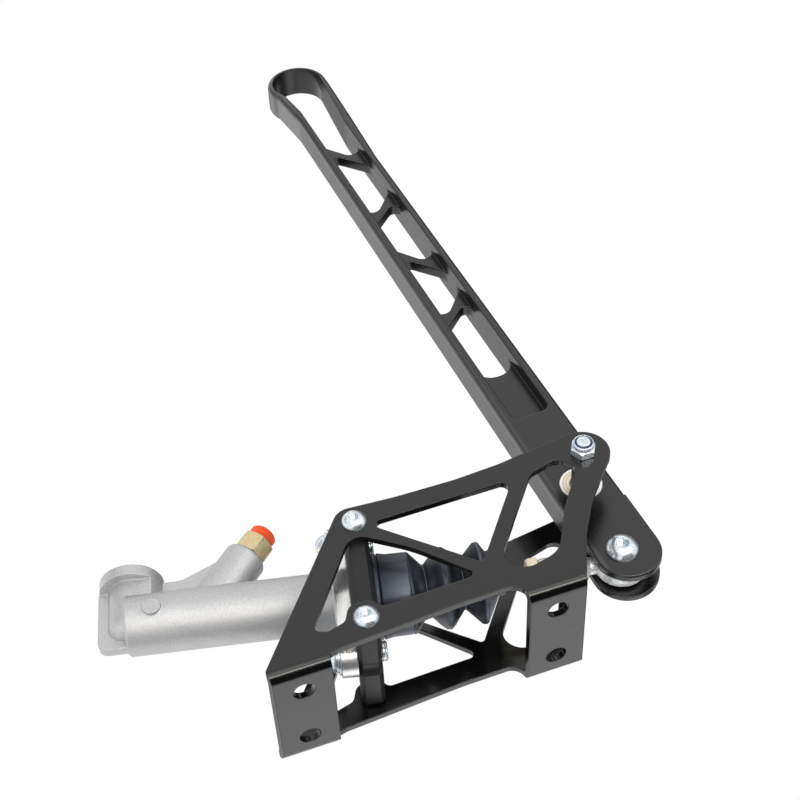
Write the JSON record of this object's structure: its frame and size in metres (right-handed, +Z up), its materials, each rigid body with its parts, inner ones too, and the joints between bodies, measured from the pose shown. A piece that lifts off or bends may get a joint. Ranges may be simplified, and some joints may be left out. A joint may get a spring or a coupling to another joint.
{
  "type": "hydraulic parking brake lever",
  "caption": "Upright drilled brake lever with a looped grip, pivoting in a folded U bracket and pushing a master cylinder through a booted push rod.",
  "frame": {"origin": "centre of the four foot holes, on the underside of the feet, midway between the side plates", "axes": "+Z up from the feet along the upright lever, +X from the cylinder's closed end towards the pivot, Y along the pivot bolt"},
  "size_m": [0.2366, 0.0687, 0.4274],
  "materials": {
    "bracket_paint": "satin black powder coat",
    "lever_black": "satin black anodised",
    "block_black": "satin black anodised",
    "cast_aluminium": "sandblasted casting",
    "zinc_steel": "bright zinc",
    "bearing_steel": "ground",
    "yellow_zinc": "yellow zinc",
    "brass": "turned",
    "orange_plastic": "moulded",
    "blue_nylon": "moulded",
    "rubber": "matte",
    "piston_alloy": "hard anodised"
  },
  "bodies": {
    "frame": {"bracket": "bracket_paint", "clamp_block": "block_black", "block_screws": "zinc_steel", "cylinder_body": "cast_aluminium", "flange_bolts": "zinc_steel", "flange_washers": "zinc_steel", "outlet_adapter": "brass", "transit_plug": "orange_plastic", "retaining_washer": "bearing_steel", "circlip": "bearing_steel", "bearing_inner_rings": "bearing_steel", "bearing_spacer": "zinc_steel", "pivot_spacers": "block_black", "pivot_bolt": "zinc_steel", "pivot_nut": "zinc_steel", "pivot_nut_insert": "blue_nylon", "boot": "rubber", "return_spring": "bearing_steel"},
    "lever": {"lever": "lever_black", "bearing_outer_rings": "bearing_steel", "bearing_shields": "yellow_zinc", "clevis_bolt": "zinc_steel", "clevis_nut": "zinc_steel", "clevis_nut_insert": "blue_nylon", "rod_end_ball": "bearing_steel"},
    "push_rod": {"rod_end": "zinc_steel", "rod_end_liner": "yellow_zinc", "jam_nut": "yellow_zinc", "push_rod": "yellow_zinc"},
    "piston": {"piston": "piston_alloy", "primary_cup": "rubber", "secondary_seal": "rubber", "spring_seat": "zinc_steel"}
  },
  "joints": [
    {"name": "lever_pivot", "type": "hinge", "parent": "frame", "child": "lever", "pos_m": [0.0935, 0, 0.0645], "axis": [0, 1, 0], "range_deg": [0, 25]},
    {"name": "piston_slide", "type": "slide", "parent": "frame", "child": "piston", "axis": [-0.9744, 0, 0.225], "range_m": [0, 0.018], "stiffness_N_per_m": 1000, "springref_m": -0.02, "deforming": ["return_spring", "boot"]},
    {"name": "rod_end_pivot", "type": "hinge", "parent": "lever", "child": "push_rod", "pos_m": [0.09425, 0, 0.02416], "axis": [0, 1, 0], "range_deg": [-26, 1]}
  ],
  "couplings": [
    {"joint": "piston_slide", "follows": "lever_pivot", "m_per_rad": 0.039988},
    {"joint": "rod_end_pivot", "follows": "lever_pivot", "ratio": -1.008}
  ]
}
